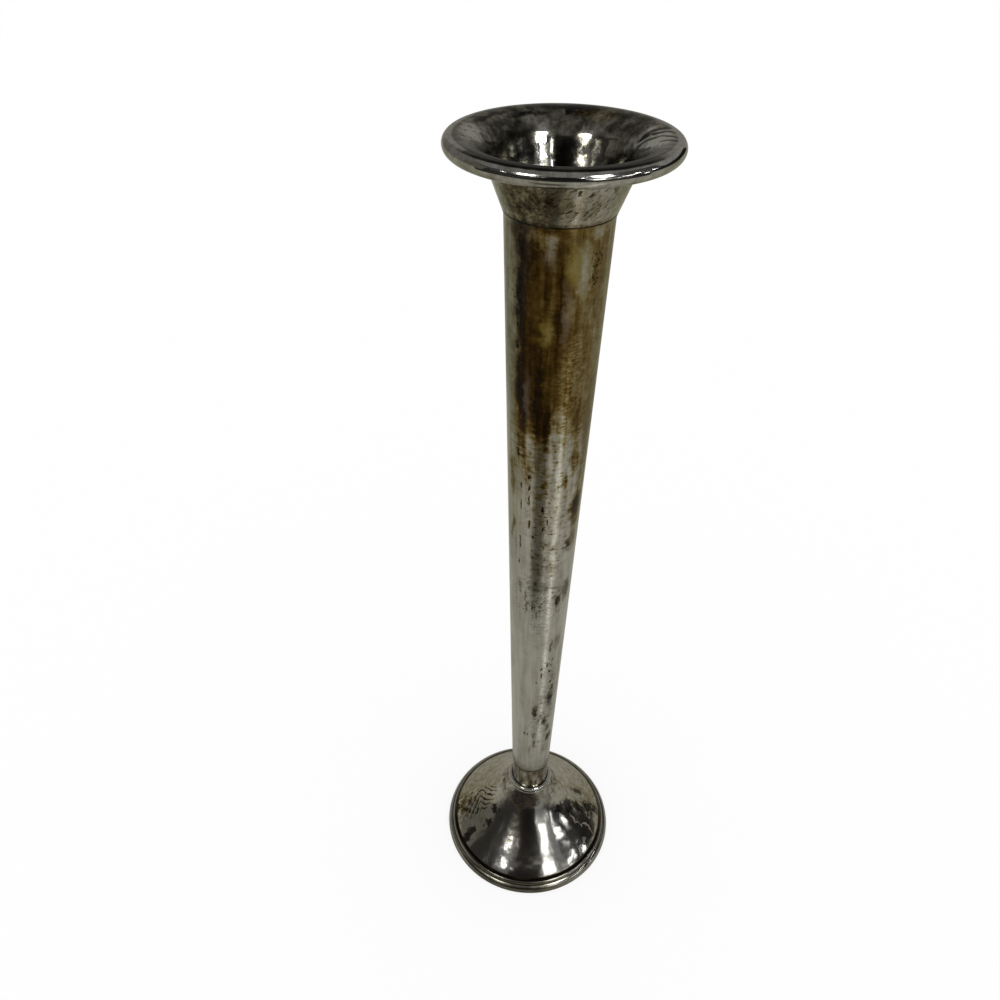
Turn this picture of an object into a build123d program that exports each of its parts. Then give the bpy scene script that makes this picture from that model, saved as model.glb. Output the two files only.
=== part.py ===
# A trumpet vase: a tapered tube with a spun flared mouth, on a weighted domed foot.
# The origin is the centre of the foot on the standing plane, with +Z up the axis.
# Lengths are in millimetres and angles in degrees. Every profile is drawn as
# (radius, height) and turned about the axis.

from build123d import *
from math import cos, radians, sin, tan
import os

os.makedirs("parts", exist_ok=True)

# The whole vase
vase_height = 305.0
mouth_radius = 30.0  # over the rolled rim
foot_radius = 36.8  # over the border moulding
foot_height = 33.0  # top of the dome, where the collar stands
solder_gap = 0.03  # film of solder between telescoped pieces

# Mouth: a spun cone that flares out and rolls back on itself at the rim
mouth_height = 18.0  # from the joint with the tube to the top of the rim
mouth_sheet = 0.7
cone_angle = 20.7  # from the vertical
roll_radius = 2.2  # outside radius of the rolled rim
roll_turn = 292.0  # how far round the rim is rolled
joggle_height = 2.0  # where the cone steps in to its skirt
skirt_depth = 6.0  # how far the skirt reaches into the tube

# Tube: a long taper, belled out at the top to take the cone
tube_top_radius = 14.65
tube_foot_radius = 7.86
tube_wall = 0.7
bell_height = 1.3
tube_end_round = 0.45
floor_sheet = 0.8

# Collar: a waisted ferrule between the tube and the foot
collar_height = 14.3
collar_base_radius = 7.95
tube_overhang = 0.51  # how far the tube's end stands out over the collar
collar_waist = 0.18  # how far its side is hollowed
collar_sheet = 0.7
collar_flange = 2.5  # width of its turned-in base
spigot_height = 3.7  # how far it telescopes into the tube

# Twin bead round the base of the collar
lower_bead_radius = 0.65
upper_bead_radius = 0.6
bead_spread = 0.7  # radial distance from the collar to the lower bead's centre
bead_step = 0.4  # how much further in the upper bead stands
bead_rise = 1.55  # between the two centres

# Foot: a spun dome with an ogee side
foot_sheet = 0.7
land_margin = 0.32  # flat top of the dome that is left round the bead's line of contact
border_width = 3.6
border_height = 4.4
dome_top_slope = 61.0  # fall of the side where it leaves the flat top
dome_edge_slope = 54.0  # fall of the side where it meets the border
top_pull_share = 0.52  # how far the side keeps its top slope, as a share of its chord
edge_pull_share = 0.17  # and its slope at the edge

# Border: a solid drawn moulding with two ridges, soldered round the skirt
groove_inset = 2.0  # from the border's outer edge in to the groove between its ridges
groove_height = 3.0
outer_ridge_bulge = 0.55
inner_ridge_bulge = 0.45

# Underside: cast filling, reinforcing rod and closing plate
plate_recess = 0.4
plate_sheet = 0.5
rod_radius = 2.0
rod_bend = 6.0
rod_hook = 15.0
rod_cover = 6.0  # filling left under the hook

# Heights and radii that follow from the sizes above
collar_top = foot_height + collar_height
spigot_top = collar_top + spigot_height
joint_height = vase_height - mouth_height
bell_start = joint_height - bell_height
plate_top = plate_recess + plate_sheet
taper = (tube_top_radius - tube_foot_radius) / (bell_start - collar_top)
joint_radius = tube_top_radius + bell_height * tan(radians(cone_angle))
collar_top_radius = tube_foot_radius - tube_overhang
spigot_radius = tube_foot_radius - tube_wall - solder_gap
collar_bore = collar_base_radius - collar_sheet - collar_flange
bead_bore = collar_base_radius + solder_gap
land_radius = bead_bore + bead_spread + land_margin
dome_edge_radius = foot_radius - border_width
groove_radius = foot_radius - groove_inset


def tube_radius(height):
    """Outside radius of the tube's straight taper at a height."""
    return tube_foot_radius + taper * (height - collar_top)


def tube_bore(height):
    """Radius inside the tube's straight taper at a height."""
    return tube_radius(height) - tube_wall


def dome_side(sheet):
    """The four points of the dome's ogee side, a sheet's thickness inside the outer face.

    The ends slide along the flat top and the skirt, so the sheet keeps its thickness.
    """
    top = radians(dome_top_slope)
    edge = radians(dome_edge_slope)
    start = Vector(land_radius - sheet * (1 - cos(top)) / sin(top), foot_height - sheet)
    end = Vector(dome_edge_radius - sheet, border_height - sheet * (1 - sin(edge)) / cos(edge))
    chord = (end - start).length
    first = start + Vector(cos(top), -sin(top)) * chord * top_pull_share
    last = end - Vector(cos(edge), -sin(edge)) * chord * edge_pull_share
    return start, first, last, end


# Mouth flare
# The flare's arc is tangent to the cone and level where the rim starts to roll.
slope = tan(radians(cone_angle))
lip_under = vase_height - mouth_sheet
roll_centre = (mouth_radius - roll_radius, vase_height - roll_radius)
flare_reach = roll_centre[0] - joint_radius - slope * (lip_under - joint_height)
flare_radius = flare_reach / (cos(radians(cone_angle)) - slope * (1 - sin(radians(cone_angle))))
flare_centre = (roll_centre[0], lip_under - flare_radius)
flare_turn = 90 - cone_angle
joggle_top = joint_height + joggle_height
joggle_radius = joint_radius + slope * joggle_height - mouth_sheet / cos(radians(cone_angle))
skirt_foot = joint_height - skirt_depth
skirt_top_radius = joint_radius - tube_wall - solder_gap

with BuildPart() as mouth_flare:
    with BuildSketch(Plane.XZ):
        with BuildLine():
            under_arc = CenterArc(flare_centre, flare_radius, 180 - cone_angle, -flare_turn)
            top_arc = CenterArc(flare_centre, flare_radius + mouth_sheet, 180 - cone_angle, -flare_turn)
            roll_inside = CenterArc(roll_centre, roll_radius - mouth_sheet, 90, -roll_turn)
            roll_outside = CenterArc(roll_centre, roll_radius, 90, -roll_turn)
            Line(roll_inside @ 1, roll_outside @ 1)
            Polyline(
                under_arc @ 0,
                (joint_radius, joint_height),
                (skirt_top_radius, joint_height),
                (tube_bore(bell_start) - solder_gap, bell_start),
                (tube_bore(skirt_foot) - solder_gap, skirt_foot),
                (tube_bore(skirt_foot) - solder_gap - mouth_sheet, skirt_foot),
                (tube_bore(bell_start) - solder_gap - mouth_sheet, bell_start),
                (skirt_top_radius - mouth_sheet, joint_height),
                (joggle_radius, joggle_top),
                top_arc @ 0,
            )
        make_face()
    revolve(axis=Axis.Z)
mouth_flare.part.label = "mouth_flare"
export_step(mouth_flare.part, "parts/mouth_flare.step")


# Stem tube
with BuildPart() as stem_tube:
    with BuildSketch(Plane.XZ) as tube_section:
        with BuildLine():
            Polyline(
                (tube_foot_radius, collar_top),
                (tube_top_radius, bell_start),
                (joint_radius, joint_height),
                (joint_radius - tube_wall, joint_height),
                (tube_top_radius - tube_wall, bell_start),
                (tube_foot_radius - tube_wall, collar_top),
                close=True,
            )
        make_face()
        outer_foot_corner = tube_section.vertices().group_by(Axis.Y)[0].sort_by(Axis.X)[-1]
        fillet(outer_foot_corner, tube_end_round)
    revolve(axis=Axis.Z)
stem_tube.part.label = "stem_tube"
export_step(stem_tube.part, "parts/stem_tube.step")


# Tube floor: the disc that makes the tube hold water
with BuildPart() as tube_floor:
    with BuildSketch(Plane.XY.offset(spigot_top)):
        Circle(tube_bore(spigot_top) - solder_gap)
    extrude(amount=floor_sheet)
tube_floor.part.label = "tube_floor"
export_step(tube_floor.part, "parts/tube_floor.step")


# Neck collar
with BuildPart() as neck_collar:
    with BuildSketch(Plane.XZ):
        with BuildLine():
            outer_side = SagittaArc(
                (collar_base_radius, foot_height), (collar_top_radius, collar_top), collar_waist
            )
            inner_side = SagittaArc(
                (collar_base_radius - collar_sheet, foot_height + collar_sheet),
                (spigot_radius - collar_sheet, collar_top),
                collar_waist,
            )
            Polyline(
                outer_side @ 1,
                (spigot_radius, collar_top),
                (spigot_radius, spigot_top),
                (spigot_radius - collar_sheet, spigot_top),
                inner_side @ 1,
            )
            Polyline(
                inner_side @ 0,
                (collar_bore, foot_height + collar_sheet),
                (collar_bore, foot_height),
                outer_side @ 0,
            )
        make_face()
    revolve(axis=Axis.Z)
neck_collar.part.label = "neck_collar"
export_step(neck_collar.part, "parts/neck_collar.step")


# Collar bead
lower_bead = (bead_bore + bead_spread, foot_height + lower_bead_radius)
upper_bead = (lower_bead[0] - bead_step, lower_bead[1] + bead_rise)

with BuildPart() as collar_bead:
    with BuildSketch(Plane.XZ):
        with Locations(lower_bead):
            Circle(lower_bead_radius)
        with Locations(upper_bead):
            Circle(upper_bead_radius)
        with BuildLine():
            Polyline(
                (bead_bore, foot_height),
                (lower_bead[0], foot_height),
                lower_bead,
                upper_bead,
                (upper_bead[0], upper_bead[1] + upper_bead_radius),
                (bead_bore, upper_bead[1] + upper_bead_radius),
                close=True,
            )
        make_face()
        with Locations((0, foot_height)):
            Rectangle(bead_bore, collar_height, align=(Align.MIN, Align.MIN), mode=Mode.SUBTRACT)
    revolve(axis=Axis.Z)
collar_bead.part.label = "collar_bead"
export_step(collar_bead.part, "parts/collar_bead.step")


# Foot shell
with BuildPart() as foot_shell:
    with BuildSketch(Plane.XZ):
        with BuildLine():
            outer_dome = Bezier(*dome_side(0))
            inner_dome = Bezier(*dome_side(foot_sheet))
            Polyline(
                outer_dome @ 1,
                (dome_edge_radius, plate_top),
                (dome_edge_radius - foot_sheet, plate_top),
                inner_dome @ 1,
            )
            Polyline(
                inner_dome @ 0,
                (collar_bore, foot_height - foot_sheet),
                (collar_bore, foot_height),
                outer_dome @ 0,
            )
        make_face()
    revolve(axis=Axis.Z)
foot_shell.part.label = "foot_shell"
export_step(foot_shell.part, "parts/foot_shell.step")


# Foot border
with BuildPart() as foot_border:
    with BuildSketch(Plane.XZ):
        with BuildLine():
            outer_ridge = SagittaArc((foot_radius, 0), (groove_radius, groove_height), -outer_ridge_bulge)
            inner_ridge = SagittaArc(
                outer_ridge @ 1, (dome_edge_radius, border_height), -inner_ridge_bulge
            )
            Polyline(inner_ridge @ 1, (dome_edge_radius, 0), outer_ridge @ 0)
        make_face()
    revolve(axis=Axis.Z)
foot_border.part.label = "foot_border"
export_step(foot_border.part, "parts/foot_border.step")


# Reinforcing rod, soldered under the tube's floor and hooked into the filling
with BuildPart() as stem_rod:
    with BuildLine(Plane.XZ) as rod_path:
        FilletPolyline(
            (rod_hook, rod_cover + rod_radius),
            (0, rod_cover + rod_radius),
            (0, spigot_top),
            radius=rod_bend,
        )
    with BuildSketch(Plane(rod_path.line @ 0, z_dir=rod_path.line % 0)):
        Circle(rod_radius)
    sweep()
stem_rod.part.label = "stem_rod"
export_step(stem_rod.part, "parts/stem_rod.step")


# Foot weight: filling cast inside the shell, round the rod
with BuildPart() as foot_weight:
    with BuildSketch(Plane.XZ):
        with BuildLine():
            filling_side = Bezier(*dome_side(foot_sheet))
            Polyline(
                filling_side @ 1,
                (dome_edge_radius - foot_sheet, plate_top),
                (0, plate_top),
                (0, foot_height - foot_sheet),
                filling_side @ 0,
            )
        make_face()
    revolve(axis=Axis.Z)
    add(stem_rod.part, mode=Mode.SUBTRACT)
foot_weight.part.label = "foot_weight"
export_step(foot_weight.part, "parts/foot_weight.step")


# Bottom plate, pressed into the border under the skirt
with BuildPart() as bottom_plate:
    with BuildSketch(Plane.XY.offset(plate_recess)):
        Circle(dome_edge_radius - solder_gap)
    extrude(amount=plate_sheet)
bottom_plate.part.label = "bottom_plate"
export_step(bottom_plate.part, "parts/bottom_plate.step")
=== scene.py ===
"""A trumpet vase of tarnished silver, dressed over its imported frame. Lengths are in metres."""

import math

import bpy
import numpy as np
from mathutils import Matrix


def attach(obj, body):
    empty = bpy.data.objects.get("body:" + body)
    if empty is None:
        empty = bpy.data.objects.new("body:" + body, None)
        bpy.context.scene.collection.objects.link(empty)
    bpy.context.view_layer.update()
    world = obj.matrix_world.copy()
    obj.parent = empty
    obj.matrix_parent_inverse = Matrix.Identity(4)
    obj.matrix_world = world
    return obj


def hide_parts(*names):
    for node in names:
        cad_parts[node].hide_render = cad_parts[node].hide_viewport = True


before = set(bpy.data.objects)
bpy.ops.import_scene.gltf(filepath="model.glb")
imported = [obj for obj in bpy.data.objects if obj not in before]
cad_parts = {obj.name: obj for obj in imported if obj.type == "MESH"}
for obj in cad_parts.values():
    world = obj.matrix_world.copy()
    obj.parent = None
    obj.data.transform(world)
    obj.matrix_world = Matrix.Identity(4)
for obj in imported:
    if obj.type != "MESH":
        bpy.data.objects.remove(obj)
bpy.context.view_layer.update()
scene = bpy.context.scene


# Closing plate: a thin disc of silver pressed up into the border from below, against the edge of
# the dome's skirt. It hides the filling, and it is dulled and scuffed from being slid about.
PLATE_RADIUS = 0.03317
PLATE_BOTTOM = 0.0004
PLATE_TOP = 0.0009
PLATE_LIP = 0.00012  # how far its edge is rounded over


def arc(centre, radius, start, turn, steps):
    """Points of a circle round centre, from the angle start through turn degrees, each at
    radius times (cosine, sine) of its own angle."""
    angle = np.radians(start + turn * np.linspace(0, 1, steps))
    return np.asarray(centre) + radius * np.stack([np.cos(angle), np.sin(angle)], 1)


def run(start, end, steps):
    """Points at even steps along the straight line from start to end."""
    share = np.linspace(0, 1, steps)[:, None]
    return (1 - share) * np.asarray(start) + share * np.asarray(end)


def turned(name, outline, around=256):
    """An outline of (radius, height) turned about the upright axis. The point at share v of the
    outline and share u of the turn is (r(v) cos 2 pi u, r(v) sin 2 pi u, z(v)). The outline goes
    counter-clockwise, so its faces look outwards, and it closes on itself, or on the axis at a pole."""
    outline = outline[np.r_[True, np.abs(np.diff(outline, axis=0)).sum(1) > 1e-8]]
    radius, height = outline[:, :1], outline[:, 1:]
    turn = np.arange(around) * math.tau / around
    ring = [radius * np.cos(turn), radius * np.sin(turn), height + 0 * turn]
    corners = np.stack(ring, 2).reshape(-1, 3)
    on_axis = outline[:, 0] < 1e-9
    rows = np.arange(len(outline))
    index = rows[:, None] * around + np.arange(around) * ~on_axis[:, None]
    start, end = index, np.roll(index, -1, 0)
    if on_axis[0]:
        start, end = start[:-1], end[:-1]
    quads = np.stack([start, np.roll(start, -1, 1), np.roll(end, -1, 1), end], 2).reshape(-1, 4)
    flat_start, flat_end = quads[:, 0] == quads[:, 1], quads[:, 2] == quads[:, 3]
    faces = quads[~flat_start & ~flat_end].tolist()
    faces += quads[flat_start][:, [0, 2, 3]].tolist() + quads[flat_end][:, [0, 1, 2]].tolist()
    used = np.unique(index)
    place = np.zeros(len(corners), int)
    place[used] = np.arange(len(used))
    mesh = bpy.data.meshes.new(name)
    mesh.from_pydata(corners[used].tolist(), [], [[int(place[c]) for c in face] for face in faces])
    mesh.shade_smooth()
    mesh.set_sharp_from_angle(angle=math.radians(32))
    piece = bpy.data.objects.new(name, mesh)
    scene.collection.objects.link(piece)
    return piece


class Field:
    """A value that changes over a surface, held by one socket of a finish. Sums, differences and
    products of it add Math nodes."""

    def __init__(self, finish, socket):
        self.finish = finish
        self.socket = socket

    def __add__(self, other):
        return self.finish.sum("ADD", self, other)

    def __sub__(self, other):
        return self.finish.sum("SUBTRACT", self, other)

    def __rsub__(self, other):
        return self.finish.sum("SUBTRACT", other, self)

    def __mul__(self, other):
        return self.finish.sum("MULTIPLY", self, other)


class Nodes:
    """The nodes of a finish or of the room: node() adds any node, and the rest are used by many."""

    def __init__(self, owner):
        owner.use_nodes = True
        self.tree = owner.node_tree

    def node(self, kind, settings=None, values=None, output=0):
        """A node with its settings made first, then each socket given a number, colour or field."""
        made = self.tree.nodes.new(kind)
        for name, setting in (settings or {}).items():
            if name == "stops":
                ramp = made.color_ramp
                for _ in setting[2:]:
                    ramp.elements.new(0.5)
                for element, (place, colour) in zip(ramp.elements, setting):
                    element.position = place
                    element.color = (*colour, 1) if isinstance(colour, tuple) else (colour,) * 3 + (1,)
            else:
                setattr(made, name, setting)
        for socket, value in (values or {}).items():
            if isinstance(value, Field):
                self.tree.links.new(value.socket, made.inputs[socket])
            elif made.inputs[socket].type == "RGBA":
                made.inputs[socket].default_value = (*value, 1)
            else:
                made.inputs[socket].default_value = value
        return Field(self, made.outputs[output])

    def sum(self, operation, first, second):
        return self.node("ShaderNodeMath", {"operation": operation}, {0: first, 1: second})

    def vector(self, operation, *values, output=0):
        return self.node("ShaderNodeVectorMath", {"operation": operation}, dict(enumerate(values)), output)

    def place(self):
        """Where a point is on the vase, in millimetres."""
        here = self.node("ShaderNodeTexCoord", output="Object")
        return self.vector("MULTIPLY", here, (1000, 1000, 1000))

    def noise(self, place, size, detail=3, roughness=0.5, stretch=(1, 1, 1), seed=0.0, output=0):
        """Soft cloudy noise about size millimetres across, drawn out along each axis by stretch."""
        reach = tuple(1 / (size * s) for s in stretch)
        moved = self.vector("MULTIPLY_ADD", place, reach, (seed, seed * 1.7, seed * 0.6))
        values = {"Vector": moved, "Scale": 1, "Detail": detail, "Roughness": roughness}
        return self.node("ShaderNodeTexNoise", None, values, output)

    def step(self, value, low, high, bottom=0.0, top=1.0):
        """Rises smoothly from bottom to top while value goes from low to high."""
        values = {0: value, 1: low, 2: high, 3: bottom, 4: top}
        return self.node("ShaderNodeMapRange", {"interpolation_type": "SMOOTHSTEP"}, values)

    def ramp(self, value, *stops):
        return self.node("ShaderNodeValToRGB", {"stops": stops}, {0: value})

    def mix(self, share, first, second, blend="MIX"):
        """A colour between first and second."""
        settings = {"data_type": "RGBA", "blend_type": blend}
        return self.node("ShaderNodeMix", settings, {0: share, 6: first, 7: second}, 2)


class Finish(Nodes):
    """One material, with its constants set on its shader."""

    def __init__(self, name, **constants):
        self.material = bpy.data.materials.new(name)
        super().__init__(self.material)
        self.shader = self.tree.nodes["Principled BSDF"]
        for socket, value in constants.items():
            self.shader.inputs[socket.replace("_", " ").title()].default_value = value

    def give(self, **fields):
        for socket, field in fields.items():
            self.tree.links.new(field.socket, self.shader.inputs[socket.replace("_", " ").title()])

    def relief(self, height, depth, strength=1.0):
        """Turns a height from 0 to 1 into bumps that many metres deep."""
        values = {"Strength": strength, "Distance": depth, "Height": height}
        self.give(normal=self.node("ShaderNodeBump", None, values))


def plate_finish():
    finish = Finish("scuffed_plate", metallic=1.0)
    here = finish.place()
    cloud = finish.noise(here, 9, 4, 0.6)
    grain = finish.noise(here, 0.35, 2, 0.6)
    scuff = finish.step(finish.noise(here, 1.6, 5, 0.75, (9, 1, 1), 4.0), 0.6, 0.72)
    other_scuff = finish.step(finish.noise(here, 1.6, 5, 0.75, (1, 7, 1), 9.0), 0.62, 0.72)
    worn = finish.sum("MAXIMUM", scuff, other_scuff)
    film = finish.ramp(
        cloud, (0.25, (0.62, 0.6, 0.55)), (0.55, (0.46, 0.43, 0.36)), (0.8, (0.25, 0.2, 0.13))
    )
    finish.give(base_color=finish.mix(worn * 0.5, film, (0.7, 0.68, 0.64)))
    finish.give(roughness=cloud * 0.2 + grain * 0.12 + worn * 0.1 + 0.14)
    finish.relief(cloud * 0.7 + grain * 0.08 - worn * 0.12, 0.0004, 0.5)
    return finish.material


plate_corner = (PLATE_RADIUS - PLATE_LIP, PLATE_BOTTOM + PLATE_LIP)
plate_outline = [
    run((0, PLATE_BOTTOM), (plate_corner[0], PLATE_BOTTOM), 24),
    arc(plate_corner, PLATE_LIP, -90, 90, 5),
    run((PLATE_RADIUS, PLATE_TOP), (0, PLATE_TOP), 8),
]
closing_plate = turned("closing_plate", np.vstack(plate_outline))
closing_plate.data.materials.append(plate_finish())
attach(closing_plate, "root")
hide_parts("bottom_plate")


# Filling: cement cast inside the dome to weight the foot, so that so tall a vase stands up. It is
# sealed in between the dome and the closing plate, and keeps its plain shape from the frame.
def filling_finish():
    finish = Finish("cast_cement")
    here = finish.place()
    sand = finish.noise(here, 0.8, 5, 0.7)
    cloud = finish.noise(here, 11, 3, 0.5, seed=3.0)
    pores = {"Vector": finish.vector("SCALE", here), "Scale": 0.45}
    pore = finish.step(finish.node("ShaderNodeTexVoronoi", None, pores), 0.1, 0.22)
    tone = finish.ramp(
        cloud, (0.3, (0.34, 0.32, 0.28)), (0.55, (0.45, 0.43, 0.38)), (0.75, (0.52, 0.5, 0.45))
    )
    finish.give(base_color=finish.mix(1 - pore, tone, (0.22, 0.2, 0.18)))
    finish.give(roughness=sand * 0.15 + 0.8)
    finish.relief(sand * 0.5 + pore * 0.5, 0.0006)
    return finish.material


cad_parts["foot_weight"].data.materials.clear()
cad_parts["foot_weight"].data.materials.append(filling_finish())


# Reinforcing rod: drawn iron wire, hooked into the filling and soldered under the tube's floor, so
# that the thin joint between tube and foot can't bend. It keeps its shape from the frame.
def rod_finish():
    finish = Finish("drawn_iron", metallic=1.0)
    here = finish.place()
    cloud = finish.noise(here, 6, 4, 0.6)
    lines = finish.noise(here, 0.5, 3, 0.6, (1, 1, 30))
    rust = finish.step(cloud, 0.52, 0.66)
    finish.give(base_color=finish.mix(rust, (0.24, 0.23, 0.22), (0.14, 0.07, 0.035)))
    finish.give(metallic=1 - rust * 0.8, roughness=lines * 0.2 + rust * 0.35 + 0.28)
    finish.relief(lines * 0.4 + cloud * 0.6, 0.0002)
    return finish.material


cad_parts["stem_rod"].data.materials.clear()
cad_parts["stem_rod"].data.materials.append(rod_finish())


# Border moulding: a solid strip drawn with two round ridges, bent into a ring and soldered round
# the dome's skirt. It takes the wear of handling, so its ridges stay the brightest silver.
FOOT_RADIUS = 0.0368
GROOVE = (0.0348, 0.0030)  # radius and height of the groove between the ridges
BORDER_TOP = (0.0332, 0.0044)  # where the inner ridge meets the dome
OUTER_BULGE = 0.00055
INNER_BULGE = 0.00045


def bow(start, end, rise, steps):
    """Points of the circle through start and end whose middle stands out by rise to the right."""
    start, end = np.asarray(start), np.asarray(end)
    chord = end - start
    length = np.hypot(*chord)
    right = np.array([chord[1], -chord[0]]) / length
    radius = (length**2 / 4 + rise**2) / (2 * abs(rise))
    centre = (start + end) / 2 - right * math.copysign(radius - abs(rise), rise)
    first = math.atan2(*(start - centre)[::-1])
    turn = (math.atan2(*(end - centre)[::-1]) - first + math.pi) % math.tau - math.pi
    return arc(centre, radius, math.degrees(first), math.degrees(turn), steps)


def tarnish(finish, film):
    """The colour of silver under its film of tarnish, from bare at 0 to black at 1."""
    return finish.ramp(
        film,
        (0.0, (0.64, 0.625, 0.59)),
        (0.14, (0.55, 0.535, 0.49)),
        (0.3, (0.4, 0.38, 0.315)),
        (0.42, (0.33, 0.285, 0.17)),
        (0.54, (0.22, 0.157, 0.06)),
        (0.68, (0.11, 0.066, 0.015)),
        (0.82, (0.048, 0.024, 0.006)),
        (1.0, (0.013, 0.01, 0.008)),
    )


def blackened(finish, film):
    """The colour of silver whose film is grey and black instead of brown."""
    return finish.ramp(
        film,
        (0.0, (0.63, 0.625, 0.6)),
        (0.25, (0.42, 0.41, 0.375)),
        (0.45, (0.24, 0.228, 0.185)),
        (0.62, (0.125, 0.118, 0.09)),
        (0.8, (0.05, 0.047, 0.037)),
        (1.0, (0.012, 0.011, 0.01)),
    )


def round_vase(finish, here):
    """How far round the vase a point is, in degrees from the front, positive to the right; and its
    height in millimetres. Both come with the same two as one vector, to place stains by."""
    x, y, z = (finish.node("ShaderNodeSeparateXYZ", None, {0: here}, axis) for axis in "XYZ")
    turn = finish.sum("ARCTAN2", x, y * -1) * (180 / math.pi)
    return turn, z, finish.node("ShaderNodeCombineXYZ", None, {0: turn, 1: z})


def stain(finish, skin, turn, height, wide, tall, inner=0.3):
    """1 inside an ellipse on the skin and 0 outside it: the length of the way from its centre,
    measured in its half width and half height, falls smoothly from inner to 1."""
    scale = (1 / wide, 1 / tall, 0)
    offset = (-turn / wide, -height / tall, 0)
    away = finish.vector("LENGTH", finish.vector("MULTIPLY_ADD", skin, scale, offset), output=1)
    return finish.step(away, inner, 1.0, 1.0, 0.0)


def size_of(finish, value):
    """The value without its sign."""
    return finish.sum("ABSOLUTE", value, 0)


def border_finish():
    finish = Finish("bright_border", metallic=1.0)
    here = finish.place()
    turn, height, skin = round_vase(finish, here)
    cloud = finish.noise(here, 8, 4, 0.6) - 0.5
    fleck = finish.step(finish.noise(here, 0.9, 4, 0.7, seed=2.0), 0.6, 0.7)
    # painted reflection: more film over the front of the border, for the dark in front that it mirrors
    front = stain(finish, skin, -8, 2, 50, 9)
    groove = 1 - finish.step(size_of(finish, height - GROOVE[1] * 1000), 0.05, 0.3)
    behind = finish.step(size_of(finish, turn), 60, 110)
    edge = BORDER_TOP[1] * 1000
    # a dark line round the top where the dome meets it: tarnish in the joint, and painted dark reflection,
    # stronger in front than behind
    seam = finish.step(height, edge - 0.3, edge - 0.05) * (0.8 - behind * 0.5)
    film = cloud * 0.45 + fleck * 0.1 + groove * 0.4 + seam + front * 0.3 + 0.25
    finish.give(base_color=blackened(finish, film), roughness=film * 0.2 + 0.12)
    wave = finish.noise(here, 9, 2, 0.5, seed=6.0)
    finish.relief(wave, 0.0005, 0.5)
    return finish.material


border_outline = [
    bow((FOOT_RADIUS, 0), GROOVE, OUTER_BULGE, 22),
    bow(GROOVE, BORDER_TOP, INNER_BULGE, 26),
    run(BORDER_TOP, (BORDER_TOP[0], 0), 4),
    run((BORDER_TOP[0], 0), (FOOT_RADIUS, 0), 6),
]
border_moulding = turned("border_moulding", np.vstack(border_outline)[:-1], 384)
border_moulding.data.materials.append(border_finish())
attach(border_moulding, "root")
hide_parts("foot_border")


# Foot dome: sheet silver spun over a chuck into a hollow dome with an ogee side, a small flat land
# on top for the collar and a short skirt inside the border. Hand polishing has left it wavy.
SHEET = 0.0007
DOME_TOP = 0.0330
LAND_RADIUS = 0.0090
SKIRT_RADIUS = 0.0332
DOME_EDGE = 0.0044
DOME_BORE = 0.00475
DOME_SLOPES = (61.0, 54.0)  # fall of its side at the top and at the edge, in degrees
DOME_PULLS = (0.52, 0.17)  # how far each end holds to its slope, as shares of the chord

# Black blots on it, each placed by its degrees round from the front and its height in
# millimetres, with its half width and half height in the same.
DOME_BLOTS = [
    (-57, 20.5, 8, 1.8),
    (-52, 15.5, 5, 2.2),
    (-60, 9, 5, 1.8),
    (-58, 6.5, 5, 2.2),
    (60, 22, 13, 2.0),
    (74, 19.5, 12, 3.2),
    (84, 15, 7, 4.0),
    (92, 9.0, 5, 5.0),
    (104, 15, 4, 4.0),
]


def ogee(sheet, steps):
    """The dome's side, sheet inside its outer face, as a cubic curve: the sum of four points with
    the weights (1-t)^3, 3t(1-t)^2, 3t^2(1-t) and t^3. Its ends slide so the sheet keeps its gauge."""
    top, edge = np.radians(DOME_SLOPES)
    start = np.array([LAND_RADIUS - sheet * (1 - np.cos(top)) / np.sin(top), DOME_TOP - sheet])
    end = np.array([SKIRT_RADIUS - sheet, DOME_EDGE - sheet * (1 - np.sin(edge)) / np.cos(edge)])
    chord = np.hypot(*(end - start))
    first = start + DOME_PULLS[0] * chord * np.array([np.cos(top), -np.sin(top)])
    last = end - DOME_PULLS[1] * chord * np.array([np.cos(edge), -np.sin(edge)])
    t = np.linspace(0, 1, steps)[:, None]
    return (1 - t) ** 3 * start + 3 * t * (1 - t) ** 2 * first + 3 * t * t * (1 - t) * last + t**3 * end


def ragged(finish, here, skin, size, turn, height, seed=0.0):
    """The skin, pulled about by noise, so that a stain placed on it has a ragged edge."""
    pull = finish.noise(here, size, 5, 0.72, seed=seed, output=1)
    moved = finish.vector("SUBTRACT", pull, (0.5, 0.5, 0.5))
    return finish.vector("MULTIPLY_ADD", moved, (turn, height, 0), skin)


def any_stain(finish, skin, rows, inner):
    """The strongest at each point of the stains in a list, each by its place and half sizes."""
    strongest = stain(finish, skin, *rows[0], inner)
    for row in rows[1:]:
        strongest = finish.sum("MAXIMUM", strongest, stain(finish, skin, *row, inner))
    return strongest


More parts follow.
